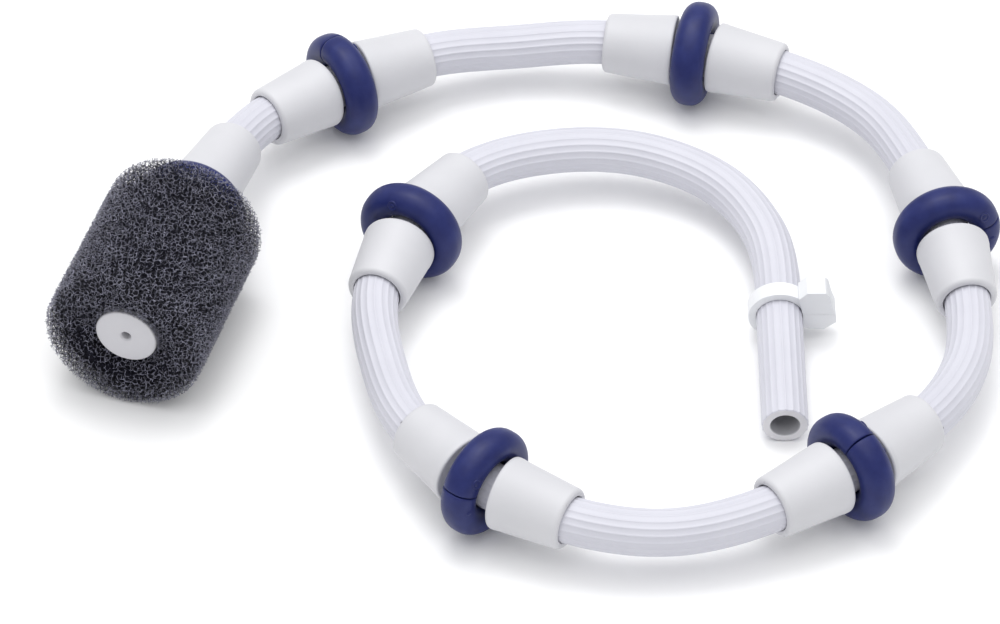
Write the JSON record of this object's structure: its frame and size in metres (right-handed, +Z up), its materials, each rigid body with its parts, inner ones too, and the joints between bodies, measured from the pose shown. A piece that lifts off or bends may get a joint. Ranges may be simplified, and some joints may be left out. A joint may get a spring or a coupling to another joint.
{
  "type": "pool cleaner sweep hose",
  "caption": "Flexible ribbed sweep hose laid in a spiral, with tapered sleeves, turning wear rings, a foam tail scrubber, a jet cap and a hose clamp.",
  "frame": {"origin": "on the floor, under the middle of the footprint of the sleeves, rings, scrubber and clamp", "axes": "+Z up from the floor; +X along the longest side of the spiral, away from the scrubber; the hose's open mouth points to -Y"},
  "size_m": [0.3291, 0.2652, 0.056],
  "materials": {
    "hose": "soft white hose with fine flutes along its length",
    "sleeve": "satin white moulded plastic",
    "wear_ring": "satin navy blue moulded plastic",
    "foam": "coarse open-cell charcoal foam",
    "cap": "matt white moulded plastic",
    "clamp": "milky white nylon"
  },
  "bodies": {
    "hose_line": {"hose": "hose", "sleeve_1_front": "sleeve", "sleeve_1_rear": "sleeve", "sleeve_2_front": "sleeve", "sleeve_2_rear": "sleeve", "sleeve_3_front": "sleeve", "sleeve_3_rear": "sleeve", "sleeve_4_front": "sleeve", "sleeve_4_rear": "sleeve", "sleeve_5_front": "sleeve", "sleeve_5_rear": "sleeve", "sleeve_6_front": "sleeve", "sleeve_6_rear": "sleeve", "tail_sleeve": "sleeve", "foam_hub": "sleeve", "jet_cap": "cap"},
    "ring_1": {"wear_ring_1": "wear_ring"},
    "ring_2": {"wear_ring_2": "wear_ring"},
    "ring_3": {"wear_ring_3": "wear_ring"},
    "ring_4": {"wear_ring_4": "wear_ring"},
    "ring_5": {"wear_ring_5": "wear_ring"},
    "ring_6": {"wear_ring_6": "wear_ring"},
    "ring_7": {"wear_ring_7": "wear_ring"},
    "scrubber": {"foam_scrubber": "foam"},
    "clamp_lower": {"clamp_base": "clamp"},
    "clamp_upper": {"clamp_jaw": "clamp"}
  },
  "joints": [
    {"name": "ring_1_turn", "type": "hinge", "parent": "hose_line", "child": "ring_1", "pos_m": [-0.04205, 0.01835, 0.019], "axis": [-0.4543, -0.8909, 0], "continuous": true},
    {"name": "ring_2_turn", "type": "hinge", "parent": "hose_line", "child": "ring_2", "pos_m": [-0.01605, -0.104, 0.019], "axis": [0.7748, -0.6322, 0], "continuous": true},
    {"name": "ring_3_turn", "type": "hinge", "parent": "hose_line", "child": "ring_3", "pos_m": [0.1056, -0.0974, 0.019], "axis": [0.8031, 0.5958, 0], "continuous": true},
    {"name": "ring_4_turn", "type": "hinge", "parent": "hose_line", "child": "ring_4", "pos_m": [0.145, 0.01765, 0.019], "axis": [-0.19, 0.9818, 0], "continuous": true},
    {"name": "ring_5_turn", "type": "hinge", "parent": "hose_line", "child": "ring_5", "pos_m": [0.0598, 0.11305, 0.019], "axis": [-0.9677, 0.2521, 0], "continuous": true},
    {"name": "ring_6_turn", "type": "hinge", "parent": "hose_line", "child": "ring_6", "pos_m": [-0.06805, 0.09625, 0.019], "axis": [-0.8422, -0.5392, 0], "continuous": true},
    {"name": "ring_7_turn", "type": "hinge", "parent": "hose_line", "child": "ring_7", "pos_m": [-0.11825, 0.0205, 0.02775], "axis": [-0.3058, -0.9515, 0.034], "continuous": true},
    {"name": "scrubber_pull_off", "type": "slide", "parent": "hose_line", "child": "scrubber", "axis": [-0.2873, -0.9578, 0], "range_m": [0, 0.065]},
    {"name": "clamp_slide", "type": "slide", "parent": "hose_line", "child": "clamp_lower", "axis": [0, -0.9986, -0.0525], "range_m": [0, 0.05]},
    {"name": "clamp_open", "type": "hinge", "parent": "clamp_lower", "child": "clamp_upper", "pos_m": [0.0757, -0.01319, 0.01083], "axis": [0, -0.9986, -0.0525], "range_deg": [0, 55]}
  ]
}
